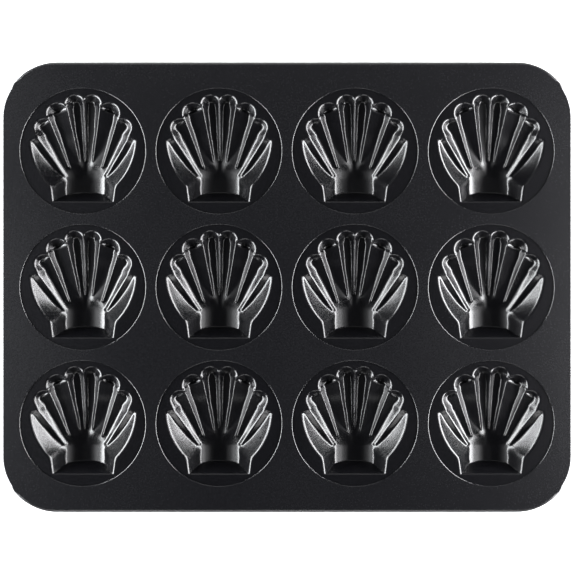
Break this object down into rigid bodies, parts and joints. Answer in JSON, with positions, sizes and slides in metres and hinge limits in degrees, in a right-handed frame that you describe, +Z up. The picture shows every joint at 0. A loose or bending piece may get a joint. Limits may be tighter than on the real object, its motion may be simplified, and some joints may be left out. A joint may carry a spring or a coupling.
{
  "type": "madeleine pan",
  "caption": "Rectangular non-stick madeleine pan: a flat rolled-rim tray with a grid of scallop-shell cups set into round holes.",
  "frame": {"origin": "centre of the pan's footprint, on the surface that the cups stand on", "axes": "+X along the long side, +Y towards the finger tips of the shells, +Z up out of the cups"},
  "size_m": [0.355, 0.2794, 0.0162],
  "materials": {
    "tray_coating": "satin charcoal non-stick coating on steel sheet",
    "cup_coating": "semi-gloss charcoal non-stick coating on pressed steel",
    "rim_wire": "drawn steel wire, dull"
  },
  "bodies": {
    "root": {"tray": "tray_coating", "rim_wire": "rim_wire", "shell_cup_r1c1": "cup_coating", "shell_cup_r1c2": "cup_coating", "shell_cup_r1c3": "cup_coating", "shell_cup_r1c4": "cup_coating", "shell_cup_r2c1": "cup_coating", "shell_cup_r2c2": "cup_coating", "shell_cup_r2c3": "cup_coating", "shell_cup_r2c4": "cup_coating", "shell_cup_r3c1": "cup_coating", "shell_cup_r3c2": "cup_coating", "shell_cup_r3c3": "cup_coating", "shell_cup_r3c4": "cup_coating"}
  },
  "joints": []
}
